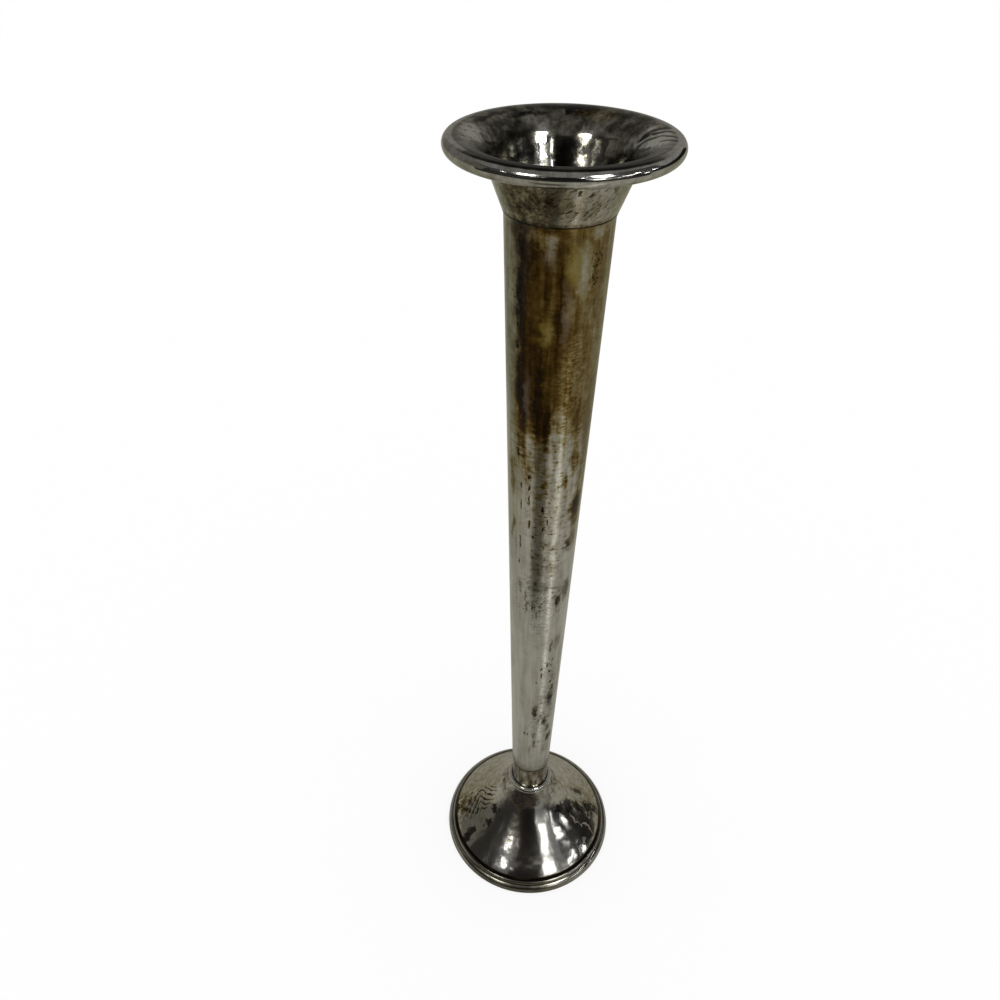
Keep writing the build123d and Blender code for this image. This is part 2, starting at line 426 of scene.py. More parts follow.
def dome_finish():
    finish = Finish("wavy_dome", metallic=1.0)
    here = finish.place()
    turn, height, skin = round_vase(finish, here)
    torn = ragged(finish, here, skin, 2.4, 18, 4)
    cloud = finish.noise(here, 12, 4, 0.55) - 0.5
    mottle = finish.noise(here, 2.2, 5, 0.7, seed=5.0) - 0.5
    fleck = finish.step(finish.noise(here, 0.7, 3, 0.7, seed=8.0), 0.6, 0.7)
    side = size_of(finish, turn)
    far = finish.step(side + cloud * 40, 60, 100)
    torn_height = finish.node("ShaderNodeSeparateXYZ", None, {0: torn}, "Y")
    neck = finish.step(torn_height, 26, 28.5)

    # painted reflection: fine dark lines in a nest of arrowheads that points away to the left, for a
    # pattern beside the vase that the dome mirrors
    fold = size_of(finish, height - 15.5)
    reflected_zigzag = finish.sum("SINE", (turn * -1 + fold * 3.4) * 0.8 + mottle * 12 + cloud * 18, 0)
    lines = finish.step(reflected_zigzag, 0.35, 0.95) * stain(finish, torn, -82, 16.5, 19, 9, 0.6)
    # black blots and reddish veins where the front half ends, and a dark ring round the neck
    blotted = ragged(finish, here, skin, 2.0, 26, 7, seed=7.0)
    blot = any_stain(finish, blotted, DOME_BLOTS, 0.6)
    grime = stain(finish, torn, -84, 8, 20, 10) * (mottle * 2.2 + 0.12)
    film = cloud * 0.35 + mottle * (far * 0.9 + 0.25)
    film = film + fleck * (far * 0.12 + 0.05) + far * 0.2 + 0.1
    # painted reflection: more film on the front of the neck, for the dark in front that it mirrors
    front = stain(finish, torn, -10, 30, 44, 7, 0.5)
    film = film + neck * (mottle * 1.7 + front * 0.5 + 0.14) + lines * 0.8 + grime
    vein = size_of(finish, finish.noise(here, 15, 4, 0.55, seed=23.0) - 0.5)
    vein = finish.step(vein, 0.004, 0.014, 1, 0) * stain(finish, torn, 70, 13, 17, 10, 0.7)
    edge = DOME_EDGE * 1000
    rim = finish.step(height, edge + 0.9, edge + 0.3)
    film = film + stain(finish, torn, -13, 19, 15, 14) * (mottle * 1.4 + 0.12)
    film = film + rim * (0.9 - far * 0.5) + (cloud + mottle) * stain(finish, torn, -40, 14, 44, 16) * 0.5
    colour = finish.mix(neck * 0.75, tarnish(finish, film), blackened(finish, film))
    # painted reflection: a dark mauve tint on the front of the neck, for the same dark
    colour = finish.mix(front * neck * 0.5, colour, (0.09, 0.068, 0.072))
    # painted reflection: a warm reddish tint on the dark bar down the front of the dome, to warm the dark
    # that it mirrors there
    warm = stain(finish, torn, -1, 17, 15, 17, 0.4)
    colour = finish.mix(warm * (mottle * 0.8 + 0.5), colour, (0.36, 0.27, 0.245))
    colour = finish.mix(vein * 0.6, colour, (0.22, 0.13, 0.12))
    colour = finish.mix(blot * 0.9, colour, (0.012, 0.009, 0.008))
    finish.give(metallic=1 - vein * 0.5)
    finish.give(base_color=colour, roughness=film * 0.2 + neck * 0.12 + 0.12)
    wave = finish.noise(here, 9, 2, 0.45, seed=1.0)
    pitted = finish.noise(here, 0.8, 3, 0.6, seed=12.0)
    finish.relief(wave + pitted * 0.035, 0.0007, 0.5)
    return finish.material


outer_side = ogee(0, 72)
inner_side = ogee(SHEET, 40)
dome_outline = [
    run((SKIRT_RADIUS, PLATE_TOP), outer_side[-1], 8)[:-1],
    outer_side[::-1],
    run(outer_side[0], (DOME_BORE, DOME_TOP), 6),
    run((DOME_BORE, DOME_TOP - SHEET), inner_side[0], 6)[:-1],
    inner_side,
    run((SKIRT_RADIUS - SHEET, PLATE_TOP), (SKIRT_RADIUS, PLATE_TOP), 3)[:-1],
]
foot_dome = turned("foot_dome", np.vstack(dome_outline), 384)
foot_dome.data.materials.append(dome_finish())
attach(foot_dome, "root")
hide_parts("foot_shell")


# Twin bead: two wires, the upper a little finer and further in, soldered together and round the
# foot of the collar to cover its joint with the dome.
BEAD_BORE = 0.00798
LOWER_BEAD = 0.00065
UPPER_BEAD = 0.00060
LOWER_AT = (0.00868, 0.03365)
UPPER_AT = (0.00828, 0.03520)
BEAD_WAIST = 34.45  # height of the groove between the wires, in millimetres


def bead_finish():
    finish = Finish("bright_bead", metallic=1.0)
    here = finish.place()
    height = finish.node("ShaderNodeSeparateXYZ", None, {0: here}, "Z")
    cloud = finish.noise(here, 3, 4, 0.6) - 0.5
    # painted shade: a dark line round the waist between the wires, for the shade of a groove that the
    # outline bridges with a straight line
    between = 1 - finish.step(size_of(finish, height - BEAD_WAIST), 0.05, 0.3)
    foot = DOME_TOP * 1000
    under = 1 - finish.step(height, foot + 0.05, foot + 0.4)
    film = cloud * 0.4 + between * 0.7 + under * 0.7 + 0.06
    finish.give(base_color=blackened(finish, film), roughness=film * 0.2 + 0.08)
    finish.relief(finish.noise(here, 1.4, 2, 0.5, seed=2.0), 0.00015, 0.5)
    return finish.material


bead_outline = [
    run((BEAD_BORE, DOME_TOP), (LOWER_AT[0], DOME_TOP), 4)[:-1],
    arc(LOWER_AT, LOWER_BEAD, -90, 137, 22),
    arc(UPPER_AT, UPPER_BEAD, -22, 112, 20),
    run((UPPER_AT[0], UPPER_AT[1] + UPPER_BEAD), (BEAD_BORE, UPPER_AT[1] + UPPER_BEAD), 3),
]
twin_bead = turned("twin_bead", np.vstack(bead_outline))
twin_bead.data.materials.append(bead_finish())
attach(twin_bead, "root")
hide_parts("collar_bead")


# Collar: a short ferrule, a little waisted, with a base turned in to stand on the dome and a spigot
# that goes up inside the tube. Polish never reached into it, so it is browned in upright streaks.
COLLAR_BASE = 0.00795
COLLAR_TOP_RADIUS = 0.00735
COLLAR_TOP = 0.0473
COLLAR_WAIST = 0.00018
SPIGOT_RADIUS = 0.00713
SPIGOT_TOP = 0.0510


def collar_finish():
    finish = Finish("browned_collar", metallic=1.0)
    here = finish.place()
    height = finish.node("ShaderNodeSeparateXYZ", None, {0: here}, "Z")
    streak = finish.noise(here, 1.5, 4, 0.65, (1, 1, 6)) - 0.5
    cloud = finish.noise(here, 4, 4, 0.6, seed=3.0) - 0.5
    joint = finish.step(height, COLLAR_TOP * 1000 - 1.1, COLLAR_TOP * 1000 - 0.2)
    base = 1 - finish.step(height, DOME_TOP * 1000 + 3, DOME_TOP * 1000 + 4.4)
    film = streak * 2.4 + cloud * 0.8 + joint * 0.5 + base * 0.05 + 0.4
    colour = finish.mix(0.6, tarnish(finish, film), blackened(finish, film))
    finish.give(base_color=colour, roughness=film * 0.22 + 0.12)
    wave = finish.noise(here, 2.4, 2, 0.5, (1, 1, 3), seed=1.0)
    finish.relief(wave + streak * 0.06, 0.0003, 0.5)
    return finish.material


collar_side = bow((COLLAR_BASE, DOME_TOP), (COLLAR_TOP_RADIUS, COLLAR_TOP), -COLLAR_WAIST, 26)
lining_side = bow(
    (SPIGOT_RADIUS - SHEET, COLLAR_TOP), (COLLAR_BASE - SHEET, DOME_TOP + SHEET), COLLAR_WAIST, 18
)
collar_outline = [
    run((DOME_BORE, DOME_TOP), collar_side[0], 4)[:-1],
    collar_side,
    [(SPIGOT_RADIUS, COLLAR_TOP)],
    [(SPIGOT_RADIUS, SPIGOT_TOP), (SPIGOT_RADIUS - SHEET, SPIGOT_TOP)],
    lining_side,
    [(DOME_BORE, DOME_TOP + SHEET)],
]
collar = turned("collar", np.vstack(collar_outline))
collar.data.materials.append(collar_finish())
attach(collar, "root")
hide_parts("neck_collar")


# Floor disc: a plain disc of sheet soldered across the foot of the tube, on the collar's spigot, so
# that the tube holds water. Standing water has dulled it and left rings.
FLOOR_RADIUS = 0.00724
FLOOR_THICK = 0.0008
WATER_RING = 6.2  # radius of the ring that water left, in millimetres


def floor_finish():
    finish = Finish("water_marked", metallic=1.0)
    here = finish.place()
    flat = finish.vector("MULTIPLY", here, (1, 1, 0))
    away = finish.vector("LENGTH", flat, output=1)
    cloud = finish.noise(here, 2.5, 4, 0.6)
    ring = finish.step(size_of(finish, away + cloud * 1.6 - WATER_RING), 0.1, 0.6, 1, 0)
    film = cloud * 0.5 + ring * 0.3 + 0.22
    finish.give(base_color=tarnish(finish, film))
    finish.give(roughness=cloud * 0.2 + 0.35)
    finish.relief(cloud, 0.0003, 0.5)
    return finish.material


floor_top = SPIGOT_TOP + FLOOR_THICK
floor_outline = [
    run((0, SPIGOT_TOP), (FLOOR_RADIUS, SPIGOT_TOP), 6),
    run((FLOOR_RADIUS, floor_top), (0, floor_top), 8),
]
floor_disc = turned("floor_disc", np.vstack(floor_outline), 128)
floor_disc.data.materials.append(floor_finish())
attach(floor_disc, "root")
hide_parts("tube_floor")


# Tube: sheet silver rolled into a long taper, soldered down its back and belled out at the top to
# take the mouth. Heat and polish have left its top browned, and its lower half grey and streaked.
TUBE_FOOT_RADIUS = 0.00786
TUBE_TOP_RADIUS = 0.01465
BELL_START = 0.2857
JOINT_HEIGHT = 0.2870
JOINT_RADIUS = 0.015141
TUBE_END_ROUND = 0.00045
JOINT_ROUND = 0.00012
BELL_RISE = 0.0005  # how far up the tube turns out to its bell, and how far out it is there
BELL_STEP = 0.00019
TAPER_FOOT = 0.0490  # where its foot's rounded edge gives way to the taper

# Film on the tube in its browned top, from the joint down to a ragged edge. Both are listed by
# degrees round the tube: how deep the brown is, and the height of its edge in millimetres.
BROWN = [
    (-180, 0.52),
    (-110, 0.46),
    (-75, 0.36),
    (-60, 0.38),
    (-50, 0.46),
    (-46, 0.58),
    (-41, 0.90),
    (-35, 0.88),
    (-30, 0.76),
    (-10, 0.72),
    (-1, 0.70),
    (2, 0.71),
    (7, 0.69),
    (10, 0.64),
    (17, 0.60),
    (34, 0.54),
    (50, 0.54),
    (66, 0.50),
    (75, 0.44),
    (110, 0.48),
    (150, 0.57),
    (180, 0.52),
]
BROWN_EDGE = [
    (-180, 240),
    (-110, 226),
    (-75, 234),
    (-60, 226),
    (-48, 219),
    (-34, 220),
    (-28, 224),
    (-19, 223),
    (-14, 219),
    (-2, 220),
    (4, 226),
    (10, 231),
    (20, 232),
    (27, 227),
    (36, 218),
    (48, 221),
    (60, 214),
    (75, 212),
    (110, 232),
    (150, 222),
    (180, 240),
]
# Stains on the front of the tube, each placed by its degrees round and its height in millimetres, with its
# half width and half height in the same, and how much film it adds. The long ones centred 8 degrees left
# of the front, from 166 to 206 mm up, also deepen the dark band the tube mirrors from the floor in front:
# painted reflection.
STAINS_AND_REFLECTED_SHADE = [
    (-6, 281, 10, 5, -0.42),
    (30, 276, 11, 13, -0.38),
    (18, 278, 9, 6, -0.12),
    (50, 285, 26, 2, -0.22),
    (15, 265, 6, 7, -0.12),
    (-8, 258, 9, 7, -0.20),
    (-32, 264, 5, 21, 0.10),
    (6, 262, 4, 22, 0.10),
    (-48, 285, 9, 4, 0.18),
    (-18, 284, 34, 3, -0.26),
    (-45, 209, 30, 16, 0.20),
    (-8, 176, 14, 44, 0.10),
    (-44, 265, 4, 5, 0.20),
    (-14, 238, 7, 16, 0.14),
    (-35, 233, 8, 7, 0.12),
    (-2, 228, 8, 7, 0.14),
    (40, 227, 7, 12, 0.12),
    (30, 245, 16, 12, 0.05),
    (44, 262, 9, 6, -0.10),
    (-56, 206, 10, 12, 0.23),
    (-30, 212, 12, 8, 0.06),
    (-54, 186, 7, 5, 0.43),
    (-60, 181, 6, 3, 0.38),
    (54, 193, 18, 10, 0.60),
    (62, 204, 16, 18, 0.28),
    (52, 180, 20, 6, 0.34),
    (46, 179, 9, 3, 0.38),
    (27, 207, 6, 4, 0.38),
    (42, 213, 14, 7, 0.35),
    (-8, 166, 16, 14, 0.05),
    (50, 110, 30, 70, 0.05),
    (-24, 213, 10, 10, 0.16),
    (16, 221, 12, 12, 0.16),
    (-38, 160, 9, 4, 0.26),
    (-25, 152, 3, 8, 0.38),
    (-12, 151, 5, 3, 0.41),
    (35, 153, 7, 4, 0.52),
    (56, 157, 15, 6, 0.43),
    (30, 129, 4, 5, 0.38),
    (46, 130, 14, 6, 0.20),
    (62, 118, 12, 14, 0.10),
    (42, 99, 14, 8, 0.32),
    (3, 91, 9, 5, 0.58),
    (4, 93, 4, 2, -0.30),
    (18, 86, 10, 3, 0.38),
    (33, 83, 9, 4, 0.64),
    (42, 78, 9, 3, 0.49),
    (52, 71, 15, 3, 0.67),
    (4, 74, 8, 3, 0.32),
    (6, 68, 6, 3, 0.35),
    (-6, 64, 4, 6, 0.23),
    (-62, 76, 34, 44, -0.20),
    (-8, 206, 13, 14, 0.10),
    (-52, 150, 20, 12, 0.10),
    (-50, 172, 26, 18, 0.12),
    (-20, 250, 14, 20, 0.05),
    (-14, 230, 24, 10, 0.06),
]
# Patches on its browned top that have gone lilac, placed in the same way.
LILAC = [
    (-6, 280, 11, 6),
    (13, 263, 7, 12),
    (-30, 236, 7, 12),
    (-14, 216, 9, 5),
    (62, 222, 14, 14),
]
# Parts that are covered in black specks, and pits, where it is black all over, placed in the same way.
SPECKED = [
    (-23, 198, 6, 16),
    (-46, 266, 10, 22),
    (44, 276, 14, 9),
    (6, 190, 14, 22),
    (-30, 156, 26, 14),
    (6, 152, 30, 12),
    (40, 152, 18, 8),
    (24, 116, 26, 16),
    (10, 78, 36, 16),
]
PITS = [
    (-43, 216, 3.0, 2.2),
    (-45, 252, 3.6, 1.0),
    (-24, 208, 2.4, 1.0),
    (-23, 204, 2.0, 1.2),
    (-23, 199, 1.8, 2.6),
    (-22, 189, 2.2, 2.8),
    (-37, 204, 1.6, 2.0),
    (-37, 196, 1.4, 2.4),
    (-38, 180, 1.8, 3.6),
    (-40, 171, 1.6, 1.6),
    (-15, 184, 2.0, 1.0),
    (-2, 196, 2.6, 2.0),
    (6, 191, 2.2, 1.4),
    (0, 188, 2.2, 1.6),
    (13, 117, 2.6, 1.2),
    (14, 113, 2.4, 2.2),
    (26, 119, 2.4, 1.8),
    (32, 115, 3.6, 1.0),
    (38, 121, 1.8, 1.0),
    (38, 108, 4.0, 1.1),
    (45, 104, 3.2, 1.3),
    (4, 109, 2.0, 0.9),
    (-21, 75, 2.6, 1.2),
    (-12, 75, 2.4, 1.2),
]


def round_ramp(finish, turn, stops, low=0.0, span=1.0):
    """A value that changes round the vase, from stops of (degrees, value) between low and low + span."""
    scaled = [(degrees / 360 + 0.5, (value - low) / span) for degrees, value in stops]
    return finish.ramp(turn * (1 / 360) + 0.5, *scaled) * span + low


def tube_finish():
    finish = Finish("browned_tube", metallic=1.0)
    here = finish.place()
    turn, height, skin = round_vase(finish, here)
    torn = ragged(finish, here, skin, 3.2, 26, 9)
    frayed = ragged(finish, here, skin, 0.9, 9, 4, seed=4.0)
    streak = finish.noise(here, 1.8, 4, 0.6, (1, 1, 14)) - 0.5
    cloud = finish.noise(here, 8, 4, 0.6, (1, 1, 1.5), seed=2.0) - 0.5
    patch = finish.noise(here, 3.2, 4, 0.65, (1, 1, 1.5), seed=5.0) - 0.5
    mottle = finish.noise(here, 1.4, 4, 0.7, (1.6, 1.6, 0.8), seed=9.0) - 0.5
    fleck = finish.step(mottle, 0.08, 0.16)
    worm = finish.noise(here, 0.9, 3, 0.7, (1.5, 1.5, 0.8), seed=17.0) - 0.5
    crinkled = stain(finish, torn, 24, 244, 26, 26, 0.2)

    # brown from its top down to a ragged edge, and bare below it but for two soiled parts
    torn_turn = finish.node("ShaderNodeSeparateXYZ", None, {0: torn}, "X")
    torn_height = finish.node("ShaderNodeSeparateXYZ", None, {0: torn}, "Y")
    edge = round_ramp(finish, torn_turn, BROWN_EDGE, 200, 50)
    brown = finish.step(torn_height - edge + streak * 8 + mottle * 14, -13, 9)
    deep = round_ramp(finish, turn + patch * 20, BROWN)
    deep = deep + cloud * 0.3 + patch * 0.42 + mottle * 0.3 + streak * 0.5 + worm * crinkled * 0.75
    soiled = stain(finish, torn, 8, 182, 50, 66, 0.4) + stain(finish, torn, 34, 92, 40, 44) * 0.8
    bare = cloud * 0.4 + streak * 0.7 + 0.1
    bare = bare + soiled * (patch * 0.7 + mottle * 0.8 + fleck * 0.16 + 0.1)
    film = bare + brown * (deep - bare)
    # the stains and the painted reflection, spread so that those that thin the film have soft edges
    for around, up, wide, tall, more in STAINS_AND_REFLECTED_SHADE:
        film = film + stain(finish, torn, around, up, wide, tall, 0.4 if more > 0 else 0) * more
    film = film * ((mottle + patch) * (1 - brown) + 1)
    # black specks and pits
    speck = finish.step(finish.noise(here, 0.8, 3, 0.6, (1, 1, 1.2), seed=14.0), 0.57, 0.63)
    film = film + speck * any_stain(finish, skin, SPECKED, 0.3) * 0.45
    pit = any_stain(finish, frayed, PITS, 0.45)
    film = film + pit * 0.7
    # dark rings where it meets the mouth and the collar, then gold and lilac patches on the brown
    top, foot = JOINT_HEIGHT * 1000, COLLAR_TOP * 1000
    joint = finish.step(height, top - 0.45, top - 0.1) * (patch * 1.5 + 0.9)
    joint = joint + finish.step(height, foot + 1.5, foot + 0.5)
    gold = stain(finish, torn, -8, 258, 9, 7) + stain(finish, torn, 18, 277, 11, 7)
    gold = gold + stain(finish, torn, 31, 275, 11, 14) * 0.4
    film = film + joint * 0.6
    # its film is brown above and on the left, and grey below
    round_left = turn + patch * 12 - height * 0.5
    upper = finish.step(height + cloud * 60, 150, 205) * finish.step(round_left, -180, -160, 0.35, 1)
    colour = finish.mix(upper, blackened(finish, film), tarnish(finish, film))
    colour = finish.mix(gold * 0.6, colour, (0.3, 0.23, 0.05))
    lilac = any_stain(finish, torn, LILAC, 0.2)
    colour = finish.mix(lilac * (patch + 0.42), colour, (0.22, 0.175, 0.16))
    finish.give(base_color=colour, roughness=film * 0.22 + mottle * 0.1 + 0.13)
    wave = finish.noise(here, 6, 2, 0.5, (1, 1, 6), seed=1.0)
    finish.relief(wave + fleck * -0.02 + pit * -0.06, 0.0003, 0.5)
    return finish.material


def bore_at(height):
    """Radius inside the straight taper at a height."""
    taper = (TUBE_TOP_RADIUS - TUBE_FOOT_RADIUS) / (BELL_START - COLLAR_TOP)
    return TUBE_FOOT_RADIUS + taper * (height - COLLAR_TOP) - SHEET


foot_centre = (TUBE_FOOT_RADIUS - TUBE_END_ROUND, COLLAR_TOP + TUBE_END_ROUND)
bell_end = (JOINT_RADIUS - 0.00005, JOINT_HEIGHT - JOINT_ROUND)
tube_outline = [
    arc(foot_centre, TUBE_END_ROUND, -90, 88.4, 10),
    run((bore_at(TAPER_FOOT) + SHEET, TAPER_FOOT), (TUBE_TOP_RADIUS, BELL_START), 230),
    run((TUBE_TOP_RADIUS + BELL_STEP, BELL_START + BELL_RISE), bell_end, 4),
    [(JOINT_RADIUS - JOINT_ROUND, JOINT_HEIGHT), (JOINT_RADIUS - SHEET, JOINT_HEIGHT)],
    run((TUBE_TOP_RADIUS - SHEET, BELL_START), (TUBE_FOOT_RADIUS - SHEET, COLLAR_TOP), 40),
]
tube = turned("tube", np.vstack(tube_outline))
tube.data.materials.append(tube_finish())
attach(tube, "root")
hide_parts("stem_tube")


# Mouth: one spun sheet. Its skirt is stepped in to telescope into the tube, its side is a straight
# cone that flares out in an arc, and its lip rolls back under itself into a round, bright rim.
RIM_TOP = 0.3050
RIM_RADIUS = 0.0300
ROLL_RADIUS = 0.0022
ROLL_TURN = 292.0
CONE_ANGLE = 20.7
SKIRT_DEPTH = 0.0060
JOGGLE = 0.0020
SOLDER = 0.00003
# Clouds of film inside the mouth: degrees round, millimetres out, half sizes, and film added. Those that
# take film away at the back of the throat, 145 to 170 degrees round and 16.6 to 20.8 mm out, lighten it
# where the lamps' highlights land: painted highlight.
MOUTH_STAINS_AND_HIGHLIGHT_SPOTS = [
    (-128, 24.9, 20, 1.1, 0.42),
    (-156, 23.2, 17, 1.3, 0.42),
    (180, 23.4, 15, 1.4, 0.40),
    (-92, 23.5, 26, 4.0, -0.50),
    (-145, 20.8, 24, 2.0, -0.14),
    (163, 20.0, 6, 0.9, -0.20),
    (120, 25, 20, 2.2, 0.16),
    (96, 23, 30, 6.5, -0.74),
    (116, 20.5, 12, 2.4, -0.22),
    (-146, 17.6, 16, 1.2, 0.30),
    (180, 16.6, 15, 3.2, 0.60),
    (-180, 16.6, 12, 3.2, 0.60),
    (-161, 18.9, 9, 1.7, -0.40),
    (163, 18.9, 7, 1.5, -0.40),
    (-160, 16.6, 5, 3.0, -0.35),
    (164, 16.6, 3, 3.0, -0.40),
    (-170, 16.6, 3, 3.0, -0.50),
    (0, 24.0, 90, 4.0, 0.50),
    (128, 17.2, 16, 1.6, 0.40),
    (180, 25.6, 44, 1.7, 0.20),
    (-180, 25.6, 44, 1.7, 0.20),
]
# Dark hairlines inside: degrees round at the rim, degrees more for each millimetre in, and length.
HAIRLINES = [(88, 2.6, 8.5), (97, 2.2, 8.0), (105, 1.2, 7.0), (81, 1.6, 5.0)]


def mouth_finish():
    finish = Finish("mottled_mouth", metallic=1.0)
    here = finish.place()
    turn, height, skin = round_vase(finish, here)
    away = finish.vector("LENGTH", finish.vector("MULTIPLY", here, (1, 1, 0)), output=1)
    inside = finish.node("ShaderNodeAttribute", {"attribute_name": "inside"}, None, "Fac")
    around = finish.node("ShaderNodeCombineXYZ", None, {0: turn, 1: away})
    torn = ragged(finish, here, around, 3.0, 30, 4)
    cloud = finish.noise(here, 8, 4, 0.6) - 0.5
    mottle = finish.noise(here, 2.2, 5, 0.7, seed=9.0) - 0.5
    tipped = {"Vector": here, "Angle": 0.6}
    tilt = finish.node("ShaderNodeVectorRotate", {"rotation_type": "Y_AXIS"}, tipped)
    slant = finish.noise(tilt, 0.9, 4, 0.7, (2.2, 1, 0.8), seed=3.0)

    # inside, the sheet went black in clouds, but for its sides, where a cloth could reach
    film = cloud * 1.6 + mottle * 1.1 + 0.62
    # the clouds of film, and less of it under the lamps' highlights at the back of the throat: painted
    # highlight
    for degrees, out, wide, tall, more in MOUTH_STAINS_AND_HIGHLIGHT_SPOTS:
        film = film + stain(finish, torn, degrees, out, wide, tall, 0.3) * more
    # dark hairlines run down the right of the flare, bent a little towards its foot
    for degrees, bend, reach in HAIRLINES:
        off = turn - degrees - (27 - away) * bend + cloud * 10
        line = finish.step(size_of(finish, off), 0.9, 2.4, 1, 0)
        film = film + line * finish.step(away, 27.5 - reach, 28.5 - reach) * 0.8

    # outside, the cone under the rim is flecked, brown to the left and pitted to the right
    left = stain(finish, skin, -30, 293, 34, 10)
    centre = stain(finish, skin, 4, 293, 24, 9)
    right = stain(finish, skin, 20, 295, 44, 9)
    outer = cloud * 0.7 + mottle * 0.8 + left * (mottle * 0.8 + 0.38) + centre * 0.12 + 0.28
    outer = outer + finish.step(slant, 0.52, 0.62) * (right * 0.4 + 0.12)
    top, joint = RIM_TOP * 1000, JOINT_HEIGHT * 1000
    outer = outer - finish.step(height, top - 5.8, top - 4.6) * 0.12
    seam = finish.step(height, joint + 1.4, joint + 0.3) * (mottle + 0.5)
    outer = outer + seam * 0.5
    # the rolled rim is rubbed bright, but for painted shadow on its underside, and painted shade on the
    # front of its lip, which is made black on top
    roll = (RIM_RADIUS - ROLL_RADIUS) * 1000
    rim = finish.step(away, roll - 0.9, roll - 0.1)
    # the roll's film, with painted shadow on its underside: more film from 3 mm below its top, and fully
    # 4.2 mm below, where it hangs over the cone
    rubbed_film_and_shadow = cloud * 0.5 + mottle * 0.9 + finish.step(height, top - 3, top - 4.2) * 0.24 + 0.2
    pitted = stain(finish, torn, -90, 23.5, 26, 4.5) * finish.step(mottle, 0.05, 0.12)
    film = film + pitted * 0.5
    film = film + rim * (rubbed_film_and_shadow - film)
    # painted shade: the top of the lip is black in front, for the dark inside of the mouth that shows past
    # it
    lip = finish.step(size_of(finish, turn) + cloud * 40, 38, 66, 1, 0)
    film = film + lip * finish.step(height, top - 0.5, top - 0.25) * finish.step(away, 24, 26) * 0.8
    outer = outer + rim * (rubbed_film_and_shadow - outer)
    share = finish.sum("MAXIMUM", inside, rim)
    cone = finish.mix(0.65, tarnish(finish, outer), blackened(finish, outer))
    olive = stain(finish, torn, 160, 23.6, 24, 2.4) * 0.6
    bowl = finish.mix(olive, blackened(finish, film), tarnish(finish, film))
    finish.give(base_color=finish.mix(share, cone, bowl))
    finish.give(roughness=(outer + share * (film - outer)) * 0.16 + 0.07)
    wave = finish.noise(here, 7, 2, 0.5, seed=1.0)
    finish.relief(wave * (1 - rim), 0.0005, 0.5)
    return finish.material


lean = math.radians(CONE_ANGLE)
lip_under = RIM_TOP - SHEET
roll_centre = (RIM_RADIUS - ROLL_RADIUS, RIM_TOP - ROLL_RADIUS)
flare_reach = roll_centre[0] - JOINT_RADIUS - math.tan(lean) * (lip_under - JOINT_HEIGHT)
flare_radius = flare_reach / (math.cos(lean) - math.tan(lean) * (1 - math.sin(lean)))
flare_centre = (roll_centre[0], lip_under - flare_radius)
under_flare = arc(flare_centre, flare_radius, 180 - CONE_ANGLE, CONE_ANGLE - 90, 48)
over_flare = arc(flare_centre, flare_radius + SHEET, 90, 90 - CONE_ANGLE, 56)
roll_outside = arc(roll_centre, ROLL_RADIUS, 90 - ROLL_TURN, ROLL_TURN, 72)
roll_inside = arc(roll_centre, ROLL_RADIUS - SHEET, 90, -ROLL_TURN, 40)
step_radius = JOINT_RADIUS + math.tan(lean) * JOGGLE - SHEET / math.cos(lean)
skirt_radius = JOINT_RADIUS - SHEET - SOLDER
skirt_bend = bore_at(BELL_START) - SOLDER
skirt_foot = JOINT_HEIGHT - SKIRT_DEPTH
skirt_end = bore_at(skirt_foot) - SOLDER
mouth_outline = [
    roll_outside,
    over_flare[1:],
    run(over_flare[-1], (step_radius, JOINT_HEIGHT + JOGGLE), 16)[1:],
    run((step_radius, JOINT_HEIGHT + JOGGLE), (skirt_radius - SHEET, JOINT_HEIGHT), 5)[1:],
    [(skirt_bend - SHEET, BELL_START), (skirt_end - SHEET, skirt_foot), (skirt_end, skirt_foot)],
    [(skirt_bend, BELL_START), (skirt_radius, JOINT_HEIGHT)],
    [(JOINT_RADIUS - JOINT_ROUND, JOINT_HEIGHT)],
    run((JOINT_RADIUS + 0.00004, JOINT_HEIGHT + JOINT_ROUND), under_flare[0], 20),
    under_flare[1:],
    roll_inside[1:],
]
mouth = turned("mouth", np.vstack(mouth_outline), 384)
middle = arc(flare_centre, flare_radius + SHEET / 2, 180 - CONE_ANGLE, CONE_ANGLE - 90, 48)
joint_middle = (JOINT_RADIUS - SHEET / 2 / math.cos(lean), JOINT_HEIGHT)
middle = np.vstack([[joint_middle], middle])
corners = np.array([corner.co for corner in mouth.data.vertices])
sheet_height = np.interp(np.hypot(corners[:, 0], corners[:, 1]), middle[:, 0], middle[:, 1])
mark = mouth.data.attributes.new("inside", "FLOAT", "POINT")
mark.data.foreach_set("value", (corners[:, 2] > sheet_height).astype(float))
mouth.data.materials.append(mouth_finish())
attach(mouth, "root")
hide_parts("mouth_flare")


# Studio: a pale floor, and panels of soft light round the vase that only its silver shows. The
# floor looks white to the camera but for the vase's shadow, and pale grey-brown in the silver.
FLOOR_REACH = 4.0
CEILING_REACH = 4.4
CEILING_HEIGHT = 3.0
LAMP_DISTANCE = 2.8
WALL_DISTANCE = 3.4
NEAR_DISTANCE = 0.95
RIM_DISTANCE = 0.8
GLOW_SETBACK = 0.01  # how far a dim glow stands behind the bright lamp in front of it
